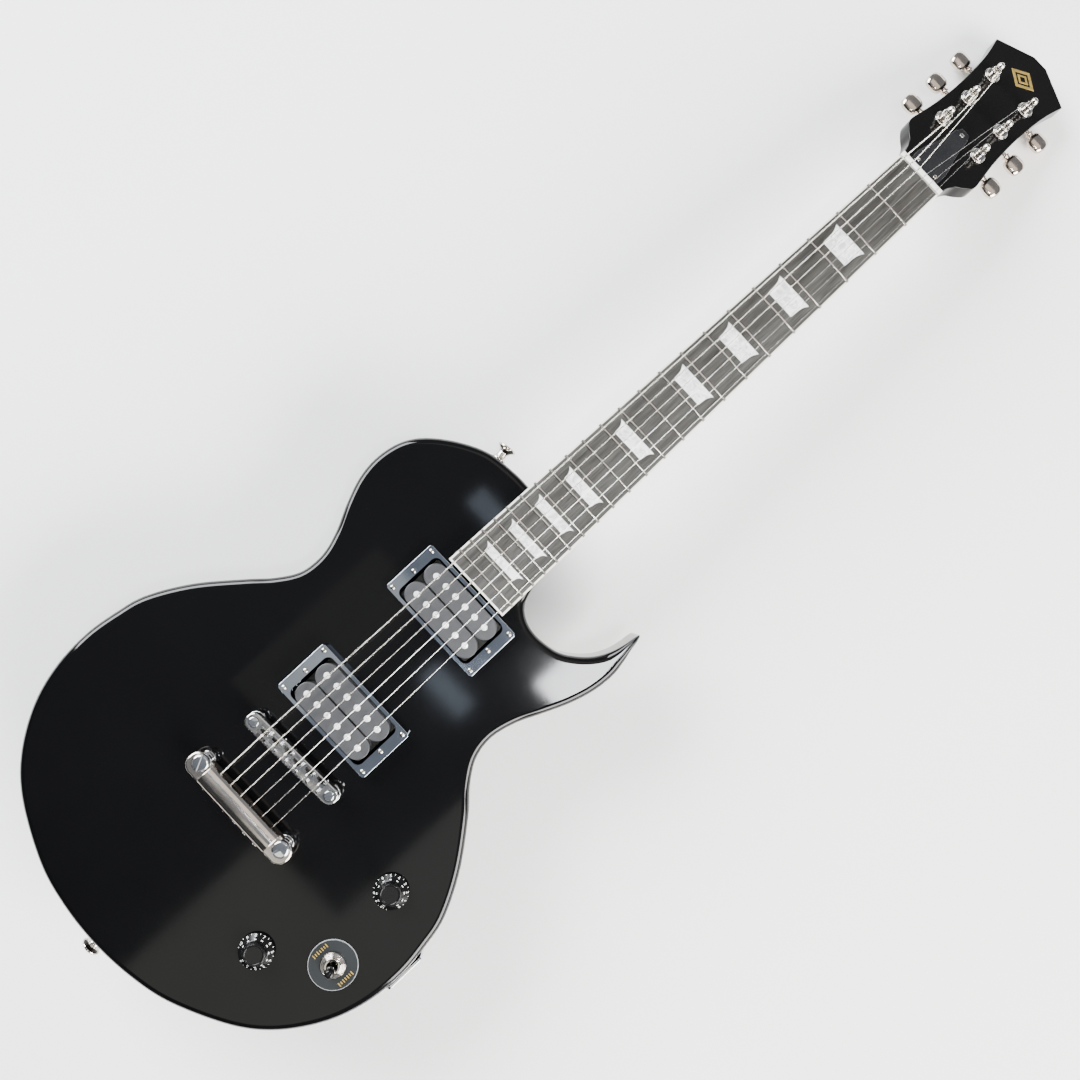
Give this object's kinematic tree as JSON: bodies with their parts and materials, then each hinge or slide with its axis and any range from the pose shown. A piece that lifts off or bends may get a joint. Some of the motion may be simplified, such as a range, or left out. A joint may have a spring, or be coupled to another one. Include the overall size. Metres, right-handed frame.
{
  "type": "electric guitar",
  "caption": "Solid-body electric guitar with a single hooked cutaway, set neck, two humbucking pickups, stop tailpiece and angled headstock.",
  "frame": {"origin": "on the flat back of the body, straight below the middle of the bridge line", "axes": "+Z out of the front of the body, +Y along the strings toward the headstock, +X toward the thin strings and the cutaway"},
  "size_m": [0.3385, 1.0207, 0.099],
  "materials": {
    "body_lacquer": "high gloss black lacquer over timber",
    "neck_lacquer": "high gloss black lacquer over timber",
    "rosewood": "open grained, oiled, unvarnished",
    "ivory": "polished",
    "black_plate": "gloss",
    "steel": "plain plated steel",
    "string_steel": "plain and nickel wound steel",
    "nickel": "polished nickel",
    "chrome": "mirror chrome",
    "bobbin_plastic": "satin moulded",
    "knob_plastic": "gloss moulded",
    "clear_plastic": "clear polished"
  },
  "bodies": {
    "guitar": {"body": "body_lacquer", "control_cover": "black_plate", "neck": "neck_lacquer", "truss_rod": "steel", "truss_rod_cover": "black_plate", "fretboard": "rosewood", "nut": "ivory", "string_1": "string_steel", "string_2": "string_steel", "string_3": "string_steel", "string_4": "string_steel", "string_5": "string_steel", "string_6": "string_steel", "tuner_housing_1": "nickel", "tuner_housing_2": "nickel", "tuner_housing_3": "nickel", "tuner_housing_4": "nickel", "tuner_housing_5": "nickel", "tuner_housing_6": "nickel", "bridge": "chrome", "bridge_post_bass": "chrome", "bridge_post_treble": "chrome", "tailpiece": "chrome", "tailpiece_stud_bass": "chrome", "tailpiece_stud_treble": "chrome", "pickup_ring_neck": "chrome", "pickup_ring_bridge": "chrome", "volume_pot": "steel", "tone_pot": "steel", "toggle_switch": "nickel", "switch_ring": "clear_plastic", "jack_plate": "chrome", "output_jack": "nickel", "strap_button_tail": "nickel", "strap_button_shoulder": "nickel"},
    "tuner_button_1": {"tuner_button_1": "nickel"},
    "tuner_post_1": {"tuner_post_1": "nickel"},
    "tuner_button_2": {"tuner_button_2": "nickel"},
    "tuner_post_2": {"tuner_post_2": "nickel"},
    "tuner_button_3": {"tuner_button_3": "nickel"},
    "tuner_post_3": {"tuner_post_3": "nickel"},
    "tuner_button_4": {"tuner_button_4": "nickel"},
    "tuner_post_4": {"tuner_post_4": "nickel"},
    "tuner_button_5": {"tuner_button_5": "nickel"},
    "tuner_post_5": {"tuner_post_5": "nickel"},
    "tuner_button_6": {"tuner_button_6": "nickel"},
    "tuner_post_6": {"tuner_post_6": "nickel"},
    "volume_control": {"volume_knob": "knob_plastic", "volume_pot_shaft": "steel"},
    "tone_control": {"tone_knob": "knob_plastic", "tone_pot_shaft": "steel"},
    "toggle_lever": {"toggle_lever": "knob_plastic"},
    "saddle_1": {"saddle_1": "nickel"},
    "saddle_2": {"saddle_2": "nickel"},
    "saddle_3": {"saddle_3": "nickel"},
    "saddle_4": {"saddle_4": "nickel"},
    "saddle_5": {"saddle_5": "nickel"},
    "saddle_6": {"saddle_6": "nickel"},
    "pickup_neck": {"pickup_neck": "bobbin_plastic"},
    "pickup_bridge": {"pickup_bridge": "bobbin_plastic"}
  },
  "joints": [
    {"name": "tuner_1_button_turn", "type": "hinge", "parent": "guitar", "child": "tuner_button_1", "pos_m": [-0.0186, 0.69028, -0.00627], "axis": [1, 0, 0], "continuous": true},
    {"name": "tuner_1_post_turn", "type": "hinge", "parent": "guitar", "child": "tuner_post_1", "pos_m": [-0.02, 0.6868, 0.014], "axis": [0, 0.279, 0.9603], "continuous": true},
    {"name": "tuner_2_button_turn", "type": "hinge", "parent": "guitar", "child": "tuner_button_2", "pos_m": [-0.0186, 0.72408, -0.01609], "axis": [1, 0, 0], "continuous": true},
    {"name": "tuner_2_post_turn", "type": "hinge", "parent": "guitar", "child": "tuner_post_2", "pos_m": [-0.0186, 0.7206, 0.00418], "axis": [0, 0.279, 0.9603], "continuous": true},
    {"name": "tuner_3_button_turn", "type": "hinge", "parent": "guitar", "child": "tuner_button_3", "pos_m": [-0.0186, 0.75904, -0.02625], "axis": [1, 0, 0], "continuous": true},
    {"name": "tuner_3_post_turn", "type": "hinge", "parent": "guitar", "child": "tuner_post_3", "pos_m": [-0.0194, 0.75556, -0.00597], "axis": [0, 0.279, 0.9603], "continuous": true},
    {"name": "tuner_4_button_turn", "type": "hinge", "parent": "guitar", "child": "tuner_button_4", "pos_m": [0.0186, 0.75904, -0.02625], "axis": [1, 0, 0], "continuous": true},
    {"name": "tuner_4_post_turn", "type": "hinge", "parent": "guitar", "child": "tuner_post_4", "pos_m": [0.0194, 0.75556, -0.00597], "axis": [0, 0.279, 0.9603], "continuous": true},
    {"name": "tuner_5_button_turn", "type": "hinge", "parent": "guitar", "child": "tuner_button_5", "pos_m": [0.0186, 0.72408, -0.01609], "axis": [1, 0, 0], "continuous": true},
    {"name": "tuner_5_post_turn", "type": "hinge", "parent": "guitar", "child": "tuner_post_5", "pos_m": [0.0186, 0.7206, 0.00418], "axis": [0, 0.279, 0.9603], "continuous": true},
    {"name": "tuner_6_button_turn", "type": "hinge", "parent": "guitar", "child": "tuner_button_6", "pos_m": [0.0186, 0.69028, -0.00627], "axis": [1, 0, 0], "continuous": true},
    {"name": "tuner_6_post_turn", "type": "hinge", "parent": "guitar", "child": "tuner_post_6", "pos_m": [0.02, 0.6868, 0.014], "axis": [0, 0.279, 0.9603], "continuous": true},
    {"name": "volume_turn", "type": "hinge", "parent": "guitar", "child": "volume_control", "pos_m": [0.1178, -0.0252, 0.044], "axis": [0, 0, 1], "range_deg": [-150, 150]},
    {"name": "tone_turn", "type": "hinge", "parent": "guitar", "child": "tone_control", "pos_m": [0.0826, -0.122, 0.044], "axis": [0, 0, 1], "range_deg": [-150, 150]},
    {"name": "toggle_rock", "type": "hinge", "parent": "guitar", "child": "toggle_lever", "pos_m": [0.1272, -0.0898, 0.042], "axis": [0, 1, 0], "range_deg": [-12, 12]},
    {"name": "saddle_1_slide", "type": "slide", "parent": "guitar", "child": "saddle_1", "axis": [-0.0459, 0.9989, 0], "range_m": [-0.0006, 0.0038]},
    {"name": "saddle_2_slide", "type": "slide", "parent": "guitar", "child": "saddle_2", "axis": [-0.0459, 0.9989, 0], "range_m": [-0.0016, 0.0028]},
    {"name": "saddle_3_slide", "type": "slide", "parent": "guitar", "child": "saddle_3", "axis": [-0.0459, 0.9989, 0], "range_m": [-0.0028, 0.0016]},
    {"name": "saddle_4_slide", "type": "slide", "parent": "guitar", "child": "saddle_4", "axis": [-0.0459, 0.9989, 0], "range_m": [-0.0014, 0.003]},
    {"name": "saddle_5_slide", "type": "slide", "parent": "guitar", "child": "saddle_5", "axis": [-0.0459, 0.9989, 0], "range_m": [-0.0026, 0.0018]},
    {"name": "saddle_6_slide", "type": "slide", "parent": "guitar", "child": "saddle_6", "axis": [-0.0459, 0.9989, 0], "range_m": [-0.0038, 0.0006]},
    {"name": "pickup_neck_height", "type": "slide", "parent": "guitar", "child": "pickup_neck", "axis": [0, 0, 1], "range_m": [-0.003, 0.0015]},
    {"name": "pickup_bridge_height", "type": "slide", "parent": "guitar", "child": "pickup_bridge", "axis": [0, 0, 1], "range_m": [-0.003, 0.0015]}
  ],
  "couplings": [
    {"joint": "tuner_1_post_turn", "follows": "tuner_1_button_turn", "ratio": 0.071429},
    {"joint": "tuner_2_post_turn", "follows": "tuner_2_button_turn", "ratio": 0.071429},
    {"joint": "tuner_3_post_turn", "follows": "tuner_3_button_turn", "ratio": 0.071429},
    {"joint": "tuner_4_post_turn", "follows": "tuner_4_button_turn", "ratio": -0.071429},
    {"joint": "tuner_5_post_turn", "follows": "tuner_5_button_turn", "ratio": -0.071429},
    {"joint": "tuner_6_post_turn", "follows": "tuner_6_button_turn", "ratio": -0.071429}
  ]
}
